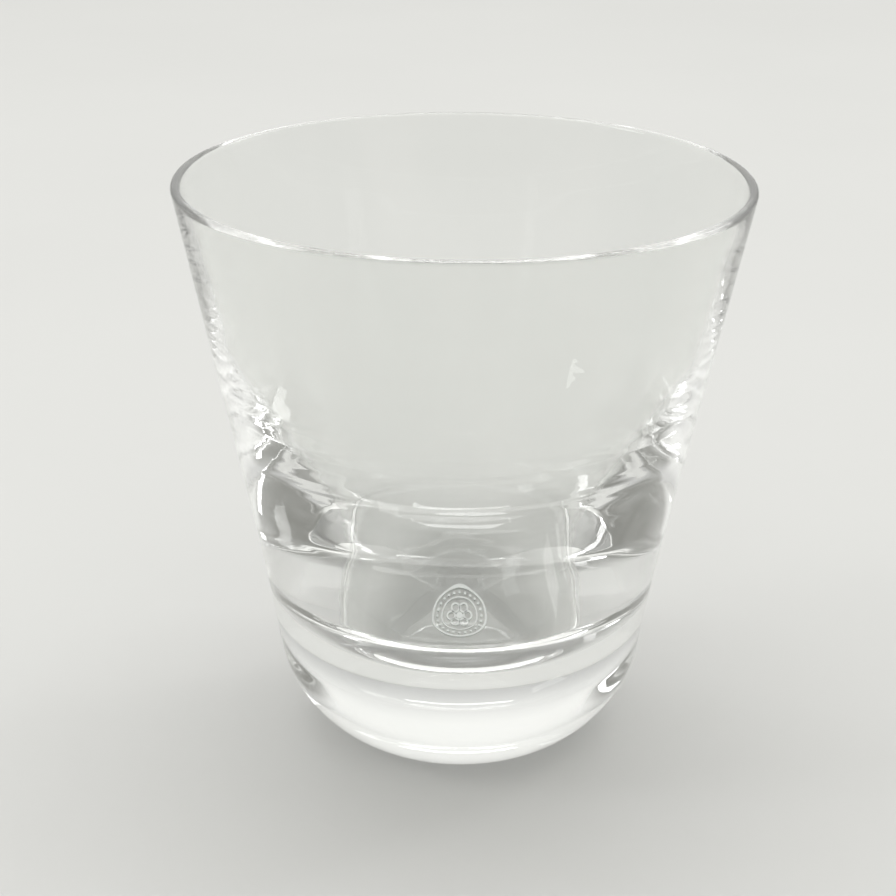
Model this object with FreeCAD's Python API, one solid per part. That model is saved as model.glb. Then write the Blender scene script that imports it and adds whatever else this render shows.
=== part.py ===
import FreeCAD, Part
import math
import os

# A heavy-based whiskey tumbler, in millimetres. +Z is up, and the origin is the centre of the foot,
# on the surface that the glass stands on. Every slope is an angle from the vertical in degrees:
# 0 is a plumb wall and 90 is a level floor.

# Outside of the glass
RIM_DIAMETER = 90.0
HEIGHT = 92.9
OUTER_WALL_SLOPE = 11.76
FLARE_TOP = 40.8
FLARE_RADIUS = 540.0
HEEL_TOP_SLOPE = 9.1
HEEL_RADIUS = 21.7
FOOT_EDGE_RADIUS = 1.2

# Lip
LIP_RADIUS = 0.75

# Inside of the glass
INNER_WALL_SLOPE = 13.2
SHOULDER_TOP = 71.0
SHOULDER_RADIUS = 105.0
SHOULDER_SLOPE = 24.0
WELL_TOP = 43.5
WELL_RADIUS = 100.0
WELL_SLOPE = 14.0
CORNER_RADIUS = 6.0
BOWL_TOP_SLOPE = 45.0
FLOOR_HEIGHT = 17.6

# Underside, dished to a smooth shallow punt inside the foot ring
PUNT_RADIUS = 14.0
PUNT_DEPTH = 0.6

# Fired mark, seated on the small level floor of the cavity
MARK_RADIUS = 4.8
MARK_THICKNESS = 0.1

# Directions on the half-section, as slopes
LEVEL = 90
HALF_TURN = 180
CROWN = 270
FULL_TURN = 360

CUBIC_MM_PER_ML = 1000


class Outline:
    """A run of edges of the half-section, drawn from the top down as (radius, height) points."""

    def __init__(self, start):
        self.point = start
        self.edges = []

    def line_to(self, end):
        self.edges.append(Part.LineSegment(vector(self.point), vector(end)).toShape())
        self.point = end

    def wall_down_to(self, slope, height):
        run = (self.point[1] - height) * math.tan(math.radians(slope))
        self.line_to((self.point[0] - run, height))

    def bend(self, radius, from_slope, to_slope):
        """An arc tangent to the wall above it. A negative radius flares the wall outwards."""
        centre = self.bend_centre(radius, from_slope)
        middle = on_arc(centre, radius, (from_slope + to_slope) / 2)
        end = on_arc(centre, radius, to_slope)
        self.edges.append(Part.Arc(vector(self.point), vector(middle), vector(end)).toShape())
        self.point = end

    def bend_centre(self, radius, slope):
        lean = math.radians(slope)
        return (self.point[0] - radius * math.cos(lean), self.point[1] + radius * math.sin(lean))


def vector(point):
    return FreeCAD.Vector(point[0], 0, point[1])


def on_arc(centre, radius, slope):
    lean = math.radians(slope)
    return (centre[0] + radius * math.cos(lean), centre[1] - radius * math.sin(lean))


def lip_centre():
    return (RIM_DIAMETER / 2 - LIP_RADIUS, HEIGHT - LIP_RADIUS)


def lip():
    """The fire-polished lip, a full round from the inner wall over to the outer one."""
    centre = lip_centre()
    inner_end = on_arc(centre, LIP_RADIUS, INNER_WALL_SLOPE + HALF_TURN)
    crown = on_arc(centre, LIP_RADIUS, CROWN)
    outer_end = on_arc(centre, LIP_RADIUS, OUTER_WALL_SLOPE)
    return Part.Arc(vector(inner_end), vector(crown), vector(outer_end)).toShape()


def inner_wall():
    """The cavity's wall, which leans in at the shoulder, steepens again into a well and ends in a
    round bowl with a small level floor."""
    outline = Outline(on_arc(lip_centre(), LIP_RADIUS, INNER_WALL_SLOPE + HALF_TURN))
    outline.wall_down_to(INNER_WALL_SLOPE, SHOULDER_TOP)
    outline.bend(SHOULDER_RADIUS, INNER_WALL_SLOPE, SHOULDER_SLOPE)
    outline.wall_down_to(SHOULDER_SLOPE, WELL_TOP)
    outline.bend(-WELL_RADIUS, SHOULDER_SLOPE, WELL_SLOPE)
    outline.bend(CORNER_RADIUS, WELL_SLOPE, BOWL_TOP_SLOPE)
    bowl_depth = outline.point[1] - FLOOR_HEIGHT
    bowl_radius = bowl_depth / (1 - math.sin(math.radians(BOWL_TOP_SLOPE)))
    outline.bend(bowl_radius, BOWL_TOP_SLOPE, LEVEL)
    outline.line_to((0, FLOOR_HEIGHT))
    return outline


def outer_wall():
    """The outer wall, its slight flare, the round heel, the foot ring and the dished punt."""
    outline = Outline(on_arc(lip_centre(), LIP_RADIUS, OUTER_WALL_SLOPE))
    outline.wall_down_to(OUTER_WALL_SLOPE, FLARE_TOP)
    outline.bend(-FLARE_RADIUS, OUTER_WALL_SLOPE, HEEL_TOP_SLOPE)
    heel_centre_height = outline.bend_centre(HEEL_RADIUS, HEEL_TOP_SLOPE)[1]
    foot_edge_sine = (heel_centre_height - FOOT_EDGE_RADIUS) / (HEEL_RADIUS - FOOT_EDGE_RADIUS)
    foot_edge_slope = math.degrees(math.asin(foot_edge_sine))
    outline.bend(HEEL_RADIUS, HEEL_TOP_SLOPE, foot_edge_slope)
    outline.bend(FOOT_EDGE_RADIUS, foot_edge_slope, LEVEL)
    outline.line_to((PUNT_RADIUS, 0))
    dish_radius = (PUNT_RADIUS ** 2 + PUNT_DEPTH ** 2) / (2 * PUNT_DEPTH)
    edge_lean = math.degrees(math.asin(PUNT_RADIUS / dish_radius))
    outline.bend(dish_radius, CROWN + edge_lean, CROWN)
    return outline


def revolve(edges):
    face = Part.Face(Part.Wire(Part.__sortEdges__(edges)))
    return face.revolve(FreeCAD.Vector(0, 0, 0), FreeCAD.Vector(0, 0, 1), FULL_TURN)


def glass_body():
    inside = inner_wall()
    outside = outer_wall()
    axis = Part.LineSegment(vector(inside.point), vector(outside.point)).toShape()
    return revolve([lip()] + inside.edges + outside.edges + [axis])


def base_mark():
    return Part.makeCylinder(MARK_RADIUS, MARK_THICKNESS, FreeCAD.Vector(0, 0, FLOOR_HEIGHT))


PARTS = {"glass_body": glass_body, "base_mark": base_mark}

os.makedirs("parts", exist_ok=True)
for name, make in PARTS.items():
    shape = make()
    if not shape.isValid() or len(shape.Solids) != 1:
        raise RuntimeError(name + " is not one valid solid")
    shape.exportStep("parts/" + name + ".step")
    print(name, "volume", round(shape.Volume / CUBIC_MM_PER_ML, 2), "ml,", shape.optimalBoundingBox())
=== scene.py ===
import math
import random

import bpy
from mathutils import Matrix, Vector

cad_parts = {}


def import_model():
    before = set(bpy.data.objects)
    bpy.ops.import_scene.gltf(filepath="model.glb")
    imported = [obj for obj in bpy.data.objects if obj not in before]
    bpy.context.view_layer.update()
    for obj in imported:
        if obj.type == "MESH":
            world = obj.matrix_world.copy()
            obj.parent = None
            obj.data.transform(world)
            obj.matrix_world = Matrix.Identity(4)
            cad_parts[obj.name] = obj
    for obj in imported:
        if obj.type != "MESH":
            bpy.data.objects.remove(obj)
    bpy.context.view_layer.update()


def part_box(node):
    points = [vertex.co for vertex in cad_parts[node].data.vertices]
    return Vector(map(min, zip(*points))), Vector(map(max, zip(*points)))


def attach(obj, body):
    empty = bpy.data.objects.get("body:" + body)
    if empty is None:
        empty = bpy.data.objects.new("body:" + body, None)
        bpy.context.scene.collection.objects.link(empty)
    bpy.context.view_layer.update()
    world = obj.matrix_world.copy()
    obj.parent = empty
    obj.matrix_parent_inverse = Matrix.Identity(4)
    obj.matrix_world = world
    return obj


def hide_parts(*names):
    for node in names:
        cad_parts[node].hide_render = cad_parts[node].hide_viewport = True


# The looks of the whiskey tumbler, in metres. Every slope is an angle from the vertical in degrees:
# 0 is a plumb wall and 90 is a level floor.
MM = 0.001
SEED = 7

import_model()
GLASS_LOW, GLASS_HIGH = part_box("glass_body")
MARK_LOW, MARK_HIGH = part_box("base_mark")
RIM_RADIUS = (GLASS_HIGH.x - GLASS_LOW.x) / 2
HEIGHT = GLASS_HIGH.z

# Outside of the glass
OUTER_WALL_SLOPE = 11.76
FLARE_TOP = 40.8 * MM
FLARE_RADIUS = 540 * MM
HEEL_TOP_SLOPE = 9.1
HEEL_RADIUS = 21.7 * MM
FOOT_EDGE_RADIUS = 1.2 * MM
LIP_RADIUS = 0.75 * MM

# Inside of the glass
INNER_WALL_SLOPE = 13.2
SHOULDER_TOP = 71 * MM
SHOULDER_RADIUS = 105 * MM
SHOULDER_SLOPE = 24
WELL_TOP = 43.5 * MM
WELL_RADIUS = 100 * MM
WELL_SLOPE = 14
CORNER_RADIUS = 6 * MM
BOWL_TOP_SLOPE = 45
FLOOR_HEIGHT = MARK_LOW.z

# Underside
PUNT_RADIUS = 14 * MM
PUNT_DEPTH = 0.6 * MM

# Mark on the floor
MARK_RADIUS = (MARK_HIGH.x - MARK_LOW.x) / 2

# Directions on the half-section, as slopes
LEVEL = 90
HALF_TURN = 180
CROWN = 270
FULL_TURN = 360

# How finely the lathe-turned shapes are drawn
TURNS = 384
LIP_STEPS = 16
WALL_STEP = 0.35 * MM
AXIS_GAP = 0.001 * MM
SHARP_EDGE = 25
FLARE_STEPS = 16
HEEL_STEPS = 40
FOOT_EDGE_STEPS = 8
PUNT_STEPS = 24
SHOULDER_STEPS = 60
WELL_STEPS = 50
CORNER_STEPS = 12
BOWL_STEPS = 40

# The unevenness of the pressed and fire-polished walls: waves counted round the wall, which climb at
# random up to the twist, and waves counted up it in radians per metre, each a share of the height
WAVE_HEIGHT = 0.025 * MM
WAVES_ROUND = (2, 3, 5, 7, 9, 12, 16, 21)
WAVE_FALL = 3
WAVE_TWIST = 60
WAVES_UP = (500, 700, 950)
WAVE_UP_SHARE = 0.2
OUTER_WAVINESS = 0.35
# Fine level ripples where the inner wall thickens, as hot glass leaves on a cooler plunger
RIPPLE_HEIGHT = 0.003 * MM
RIPPLE_MIDDLE = 57 * MM
RIPPLE_SPREAD = 11 * MM
RIPPLE_LENGTHS = (2.6 * MM, 1.9 * MM, 1.4 * MM)
RIPPLE_STEADY = 0.6
RIPPLE_PATCHY = 0.4


# ---- shapes -------------------------------------------------------------------------------------

class Outline:
    """A half-section from the top down, as a list of (radius, height) points close together."""

    def __init__(self, start):
        self.points = [start]

    @property
    def end(self):
        return self.points[-1]

    def line_to(self, target):
        start = self.end
        length = math.dist(start, target)
        steps = max(1, math.ceil(length / WALL_STEP))
        for step in range(1, steps + 1):
            share = step / steps
            self.points.append(tuple(a + (b - a) * share for a, b in zip(start, target)))

    def wall_down_to(self, slope, height):
        run = (self.end[1] - height) * math.tan(math.radians(slope))
        self.line_to((self.end[0] - run, height))

    def bend(self, radius, from_slope, to_slope, steps):
        centre = self.bend_centre(radius, from_slope)
        for step in range(1, steps + 1):
            slope = from_slope + (to_slope - from_slope) * step / steps
            self.points.append(on_arc(centre, radius, slope))

    def bend_centre(self, radius, slope):
        lean = math.radians(slope)
        return (self.end[0] - radius * math.cos(lean), self.end[1] + radius * math.sin(lean))


def on_arc(centre, radius, slope):
    lean = math.radians(slope)
    return (centre[0] + radius * math.cos(lean), centre[1] - radius * math.sin(lean))


LIP_CENTRE = (RIM_RADIUS - LIP_RADIUS, HEIGHT - LIP_RADIUS)


def lip_points():
    """The points of the full-round lip, between the inner wall's top and the outer wall's."""
    first = INNER_WALL_SLOPE + HALF_TURN
    last = OUTER_WALL_SLOPE + FULL_TURN
    slopes = [first + (last - first) * step / LIP_STEPS for step in range(1, LIP_STEPS)]
    return [on_arc(LIP_CENTRE, LIP_RADIUS, slope) for slope in slopes]


def inner_points():
    outline = Outline(on_arc(LIP_CENTRE, LIP_RADIUS, INNER_WALL_SLOPE + HALF_TURN))
    outline.wall_down_to(INNER_WALL_SLOPE, SHOULDER_TOP)
    outline.bend(SHOULDER_RADIUS, INNER_WALL_SLOPE, SHOULDER_SLOPE, SHOULDER_STEPS)
    outline.wall_down_to(SHOULDER_SLOPE, WELL_TOP)
    outline.bend(-WELL_RADIUS, SHOULDER_SLOPE, WELL_SLOPE, WELL_STEPS)
    outline.bend(CORNER_RADIUS, WELL_SLOPE, BOWL_TOP_SLOPE, CORNER_STEPS)
    bowl_depth = outline.end[1] - FLOOR_HEIGHT
    bowl_radius = bowl_depth / (1 - math.sin(math.radians(BOWL_TOP_SLOPE)))
    outline.bend(bowl_radius, BOWL_TOP_SLOPE, LEVEL, BOWL_STEPS)
    outline.line_to((0, FLOOR_HEIGHT))
    return outline.points


def outer_points():
    outline = Outline(on_arc(LIP_CENTRE, LIP_RADIUS, OUTER_WALL_SLOPE))
    outline.wall_down_to(OUTER_WALL_SLOPE, FLARE_TOP)
    outline.bend(-FLARE_RADIUS, OUTER_WALL_SLOPE, HEEL_TOP_SLOPE, FLARE_STEPS)
    heel_centre_height = outline.bend_centre(HEEL_RADIUS, HEEL_TOP_SLOPE)[1]
    foot_edge_sine = (heel_centre_height - FOOT_EDGE_RADIUS) / (HEEL_RADIUS - FOOT_EDGE_RADIUS)
    foot_edge_slope = math.degrees(math.asin(foot_edge_sine))
    outline.bend(HEEL_RADIUS, HEEL_TOP_SLOPE, foot_edge_slope, HEEL_STEPS)
    outline.bend(FOOT_EDGE_RADIUS, foot_edge_slope, LEVEL, FOOT_EDGE_STEPS)
    outline.line_to((PUNT_RADIUS, 0))
    dish_radius = (PUNT_RADIUS ** 2 + PUNT_DEPTH ** 2) / (2 * PUNT_DEPTH)
    edge_lean = math.degrees(math.asin(PUNT_RADIUS / dish_radius))
    outline.bend(dish_radius, CROWN + edge_lean, CROWN, PUNT_STEPS)
    return outline.points


def add_object(name, vertices, faces, smooth=True):
    mesh = bpy.data.meshes.new(name)
    mesh.from_pydata(vertices, [], faces)
    mesh.validate()
    mesh.update()
    mesh.polygons.foreach_set("use_smooth", [smooth] * len(mesh.polygons))
    made = bpy.data.objects.new(name, mesh)
    bpy.context.scene.collection.objects.link(made)
    return made


def lathe(name, points, waviness, rippled):
    """A closed body of revolution. The points run from the axis, round the section, to the axis, and
    each one's waviness is the share of the hand-made unevenness that it takes. The first points, as
    many as rippled says, have the fine ripples too."""
    vertices = []
    rings = []
    for index, ((radius, height), share) in enumerate(zip(points, waviness)):
        if radius < AXIS_GAP:
            rings.append([len(vertices)])
            vertices.append((0, 0, height))
            continue
        rings.append(list(range(len(vertices), len(vertices) + TURNS)))
        for turn in range(TURNS):
            angle = math.tau * turn / TURNS
            out = radius + share * unevenness(angle, height)
            if index < rippled:
                out += share * ripple(angle, height)
            vertices.append((out * math.cos(angle), out * math.sin(angle), height))
    faces = []
    for before, after in zip(rings, rings[1:]):
        for turn in range(TURNS):
            beyond = (turn + 1) % TURNS
            if len(before) == 1:
                faces.append((before[0], after[turn], after[beyond]))
            elif len(after) == 1:
                faces.append((before[turn], after[0], before[beyond]))
            else:
                faces.append((before[turn], after[turn], after[beyond], before[beyond]))
    made = add_object(name, vertices, faces)
    made.data.set_sharp_from_angle(angle=math.radians(SHARP_EDGE))
    return made


def make_waves():
    """Long, shallow waves of a pressed wall: (height, waves round, radians per metre up, phase)."""
    chance = random.Random(SEED)
    waves = []
    for around in WAVES_ROUND:
        size = WAVE_HEIGHT * WAVE_FALL ** 2 / (around + WAVE_FALL) ** 2
        twist = chance.uniform(-WAVE_TWIST, WAVE_TWIST)
        waves.append((size, around, twist, chance.uniform(0, math.tau)))
    for upward in WAVES_UP:
        size = WAVE_HEIGHT * WAVE_UP_SHARE
        around = chance.choice((0, 1, 2))
        waves.append((size, around, upward, chance.uniform(0, math.tau)))
    return waves


def make_ripples():
    """Fine ripples of the inner wall: (radians per metre up, waves round, phase, patches)."""
    chance = random.Random(SEED)
    return [(math.tau / length, chance.choice((-2, -1, 1, 2)), chance.uniform(0, math.tau),
             chance.choice((5, 7, 8))) for length in RIPPLE_LENGTHS]


WAVES = make_waves()
RIPPLES = make_ripples()


def unevenness(angle, height):
    return sum(size * math.sin(around * angle + upward * height + phase)
               for size, around, upward, phase in WAVES)


def ripple(angle, height):
    """Fades out away from the middle height, and comes and goes round the wall."""
    reach = (height - RIPPLE_MIDDLE) / RIPPLE_SPREAD
    fade = RIPPLE_HEIGHT * math.exp(-reach * reach)
    return fade * sum((RIPPLE_STEADY + RIPPLE_PATCHY * math.sin(patches * angle + phase))
                      * math.sin(upward * height + climb * angle + phase)
                      for upward, climb, phase, patches in RIPPLES)


def glass():
    inside = inner_points()
    lip = lip_points()
    outside = outer_points()
    fade_in = [min(1, radius / PUNT_RADIUS) for radius, _ in inside]
    waviness = fade_in[::-1] + [OUTER_WAVINESS] * len(lip)
    waviness += [OUTER_WAVINESS * min(1, height / HEEL_RADIUS) for _, height in outside]
    return lathe("glass", inside[::-1] + lip + outside, waviness, len(inside))


# ---- materials ----------------------------------------------------------------------------------

GLASS_INDEX = 1.52
# The shades run between two ends of a ramp, at these places on it
RAMP_ENDS = (0.3, 0.7)
GLASS_SHADES = ((0.93, 0.94, 0.93), (0.96, 0.965, 0.955))
FRIT_SHADES = ((0.72, 0.74, 0.73), (0.88, 0.9, 0.89))
FLOOR_SHADES = ((0.63, 0.63, 0.62), (0.65, 0.65, 0.64))
# Noise features per metre
GLASS_TINT_SCALE = 45
FRIT_GRAIN_SCALE = 9000
FLOOR_MOTTLE_SCALE = 6
FRIT_BUMP = 0.02 * MM


def new_material(name):
    material = bpy.data.materials.new(name)
    material.use_nodes = True
    nodes = material.node_tree.nodes
    return material, nodes, material.node_tree.links, nodes["Principled BSDF"]


def object_noise(nodes, links, scale, detail=3, stretch=(1, 1, 1)):
    """Noise that is fixed to the object. The scale is in features per metre."""
    place = nodes.new("ShaderNodeTexCoord")
    squeeze = nodes.new("ShaderNodeMapping")
    squeeze.inputs["Scale"].default_value = stretch
    links.new(place.outputs["Object"], squeeze.inputs["Vector"])
    noise = nodes.new("ShaderNodeTexNoise")
    noise.inputs["Scale"].default_value = scale
    noise.inputs["Detail"].default_value = detail
    links.new(squeeze.outputs["Vector"], noise.inputs["Vector"])
    return noise


def ramp(nodes, links, source, stops):
    """A colour ramp that runs through the stops, each a (place, colour)."""
    stops = list(stops)
    made = nodes.new("ShaderNodeValToRGB")
    elements = made.color_ramp.elements
    while len(elements) > 1:
        elements.remove(elements[0])
    elements[0].position, elements[0].color = stops[0][0], (*stops[0][1], 1)
    for position, colour in stops[1:]:
        elements.new(position).color = (*colour, 1)
    links.new(source, made.inputs["Fac"])
    return made


def glass_material():
    material, nodes, links, shader = new_material("clear_glass")
    shader.inputs["Transmission Weight"].default_value = 1
    shader.inputs["Roughness"].default_value = 0
    shader.inputs["IOR"].default_value = GLASS_INDEX
    tint = object_noise(nodes, links, GLASS_TINT_SCALE, stretch=(1, 1, 0.25))
    shades = ramp(nodes, links, tint.outputs["Fac"], zip(RAMP_ENDS, GLASS_SHADES))
    links.new(shades.outputs["Color"], shader.inputs["Base Color"])
    return material


def frit_material():
    material, nodes, links, shader = new_material("fired_frit")
    grain = object_noise(nodes, links, FRIT_GRAIN_SCALE, detail=4)
    shades = ramp(nodes, links, grain.outputs["Fac"], zip(RAMP_ENDS, FRIT_SHADES))
    links.new(shades.outputs["Color"], shader.inputs["Base Color"])
    shader.inputs["Roughness"].default_value = 0.6
    bump = nodes.new("ShaderNodeBump")
    bump.inputs["Strength"].default_value = 0.3
    bump.inputs["Distance"].default_value = FRIT_BUMP
    links.new(grain.outputs["Fac"], bump.inputs["Height"])
    links.new(bump.outputs["Normal"], shader.inputs["Normal"])
    return material


def floor_material():
    material, nodes, links, shader = new_material("floor")
    mottle = object_noise(nodes, links, FLOOR_MOTTLE_SCALE, detail=5)
    pale = ramp(nodes, links, mottle.outputs["Fac"], zip(RAMP_ENDS, FLOOR_SHADES))
    links.new(pale.outputs["Color"], shader.inputs["Base Color"])
    shader.inputs["Roughness"].default_value = 0.7
    return material


# ---- the mark on the floor -----------------------------------------------------------------------

# The mark's pattern, as shares of its radius: a band is its (outer, inner) radius
RIM_BAND = (1, 0.93)
INNER_BAND = (0.66, 0.61)
DOTS = 24
DOT_REACH = 0.8
DOT_RADIUS = 0.05
PETALS = 6
PETAL_REACH = 0.3
PETAL_BAND = (0.17, 0.11)
BUTTON_RADIUS = 0.12
BAND_SIDES = 72
PETAL_SIDES = 24
DOT_SIDES = 12
# How far the strokes sink into the glass, and the pinhole in the middle of a dot
MARK_ROOT = 0.02 * MM
PINHOLE = 0.02 * MM


def ring_prism(vertices, faces, centre, outer, inner, low, high, sides):
    """Adds a flat ring with square edges."""
    base = len(vertices)
    for turn in range(sides):
        angle = math.tau * turn / sides
        for radius in (outer, inner):
            for height in (low, high):
                vertices.append((centre[0] + radius * math.cos(angle),
                                 centre[1] + radius * math.sin(angle), height))
    for turn in range(sides):
        here = base + 4 * turn
        there = base + 4 * ((turn + 1) % sides)
        faces.append((here, there, there + 1, here + 1))
        faces.append((here + 1, there + 1, there + 3, here + 3))
        faces.append((here + 3, there + 3, there + 2, here + 2))
        faces.append((here + 2, there + 2, there, here))


def mark():
    """A generic mark: two rings, a wreath of dots and a small rosette, the same in a mirror."""
    vertices, faces = [], []

    def ring(outer, inner=0, centre=(0, 0), sides=BAND_SIDES):
        ring_prism(vertices, faces, centre, MARK_RADIUS * outer, max(MARK_RADIUS * inner, PINHOLE),
                   MARK_LOW.z - MARK_ROOT, MARK_HIGH.z, sides)

    ring(*RIM_BAND)
    ring(*INNER_BAND)
    for centre in points_round(DOTS, MARK_RADIUS * DOT_REACH):
        ring(DOT_RADIUS, centre=centre, sides=DOT_SIDES)
    for centre in points_round(PETALS, MARK_RADIUS * PETAL_REACH):
        ring(*PETAL_BAND, centre, PETAL_SIDES)
    ring(BUTTON_RADIUS, sides=PETAL_SIDES)
    return add_object("mark", vertices, faces, smooth=False)


def points_round(count, reach):
    """Points spaced evenly round the axis, at that reach from it."""
    angles = [math.tau * step / count for step in range(count)]
    return [(reach * math.cos(angle), reach * math.sin(angle)) for angle in angles]


# ---- stage --------------------------------------------------------------------------------------

# The studio's smooth sky: (sine of the height above the horizon, colour). It meets the floor in the
# floor's own grey, is bright behind the glass, and darker behind the camera, which gives clear glass
# its edges.
FAR_SKY = [
    (0.00, (0.60, 0.60, 0.59)),
    (0.15, (0.84, 0.84, 0.82)),
    (0.35, (1.02, 1.02, 0.99)),
    (0.80, (1.05, 1.05, 1.02)),
]
NEAR_SKY = [
    (0.00, (0.60, 0.60, 0.59)),
    (0.22, (0.40, 0.40, 0.38)),
    (0.40, (0.22, 0.22, 0.20)),
    (0.60, (0.40, 0.40, 0.38)),
    (0.75, (1.10, 1.10, 1.06)),
]
# Where the sky turns from near to far, as the sine of the direction towards the back
TURN_FROM = -0.2
TURN_TO = 0.4
# The floor is a square this wide, so its far edge meets the horizon
FLOOR_SIZE = 60
# The softboxes: name, place, size in metres, power in watts
SOFTBOXES = [
    ("overhead_near", (0.0, 0.15, 1.3), (1.3, 0.10), 2.5),
    ("overhead_far", (0.0, 0.55, 1.3), (1.3, 0.10), 2.5),
    ("left_window", (-1.0, -0.2, 0.7), (0.3, 0.6), 1.5),
    ("right_window", (0.9, 0.5, 0.8), (0.2, 0.6), 1),
]


def floor():
    half = FLOOR_SIZE / 2
    corners = [(-half, -half, 0), (half, -half, 0), (half, half, 0), (-half, half, 0)]
    made = add_object("floor", corners, [(0, 1, 2, 3)], smooth=False)
    made.data.materials.append(floor_material())


def world():
    """A plain studio that fades smoothly from bright behind the glass to darker behind the camera."""
    made = bpy.data.worlds.new("studio")
    bpy.context.scene.world = made
    made.use_nodes = True
    nodes, links = made.node_tree.nodes, made.node_tree.links
    place = nodes.new("ShaderNodeTexCoord")
    split = nodes.new("ShaderNodeSeparateXYZ")
    links.new(place.outputs["Generated"], split.inputs["Vector"])
    far_side = ramp(nodes, links, split.outputs["Z"], FAR_SKY)
    near_side = ramp(nodes, links, split.outputs["Z"], NEAR_SKY)
    turn = nodes.new("ShaderNodeMapRange")
    turn.interpolation_type = "SMOOTHSTEP"
    turn.inputs["From Min"].default_value = TURN_FROM
    turn.inputs["From Max"].default_value = TURN_TO
    links.new(split.outputs["Y"], turn.inputs["Value"])
    mixer = nodes.new("ShaderNodeMix")
    mixer.data_type = "RGBA"
    links.new(turn.outputs["Result"], mixer.inputs["Factor"])
    links.new(near_side.outputs["Color"], mixer.inputs["A"])
    links.new(far_side.outputs["Color"], mixer.inputs["B"])
    links.new(mixer.outputs["Result"], nodes["Background"].inputs["Color"])


def softbox(name, place, size, power):
    light = bpy.data.lights.new(name, "AREA")
    light.shape = "RECTANGLE"
    light.size, light.size_y = size
    light.energy = power
    made = bpy.data.objects.new(name, light)
    made.location = place
    aim = Vector((0, 0, HEIGHT / 2)) - Vector(place)
    made.rotation_euler = aim.to_track_quat("-Z", "Y").to_euler()
    bpy.context.scene.collection.objects.link(made)


# The camera stands in front of the glass and looks down on it. Angles in degrees, lens in mm.
CAMERA_ELEVATION = 21.696
CAMERA_ROLL = 0.5
CAMERA_DISTANCE = 0.350
CAMERA_AIM = (-0.002163, 0, 0.048053)
SENSOR_WIDTH = 36
LENS = 87.14


def camera():
    elevation = math.radians(CAMERA_ELEVATION)
    roll = math.radians(CAMERA_ROLL)
    lens = bpy.data.cameras.new("camera")
    lens.sensor_width = SENSOR_WIDTH
    lens.lens = LENS
    lens.clip_start = 0.01
    made = bpy.data.objects.new("camera", lens)
    forward = Vector((0, math.cos(elevation), -math.sin(elevation)))
    level_up = Vector((0, math.sin(elevation), math.cos(elevation)))
    level_right = Vector((1, 0, 0))
    right = level_right * math.cos(roll) + level_up * math.sin(roll)
    up = level_up * math.cos(roll) - level_right * math.sin(roll)
    place = Vector(CAMERA_AIM) - forward * CAMERA_DISTANCE
    made.matrix_world = Matrix([
        (right.x, up.x, -forward.x, place.x),
        (right.y, up.y, -forward.y, place.y),
        (right.z, up.z, -forward.z, place.z),
        (0, 0, 0, 1),
    ])
    bpy.context.scene.collection.objects.link(made)
    bpy.context.scene.camera = made


# ---- the scene ----------------------------------------------------------------------------------

body = glass()
body.data.materials.append(glass_material())
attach(body, "root")
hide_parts("glass_body")

seal = mark()
seal.data.materials.append(frit_material())
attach(seal, "root")
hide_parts("base_mark")

floor()
world()
for softbox_values in SOFTBOXES:
    softbox(*softbox_values)
camera()

# Light that is reflected many times inside the thick glass still has to come out
BOUNCES = 64
scene = bpy.context.scene
scene.view_settings.view_transform = "Standard"
scene.cycles.max_bounces = BOUNCES
scene.cycles.transmission_bounces = BOUNCES
scene.cycles.glossy_bounces = BOUNCES
scene.cycles.caustics_refractive = True
scene.cycles.caustics_reflective = True
scene.cycles.use_denoising = True
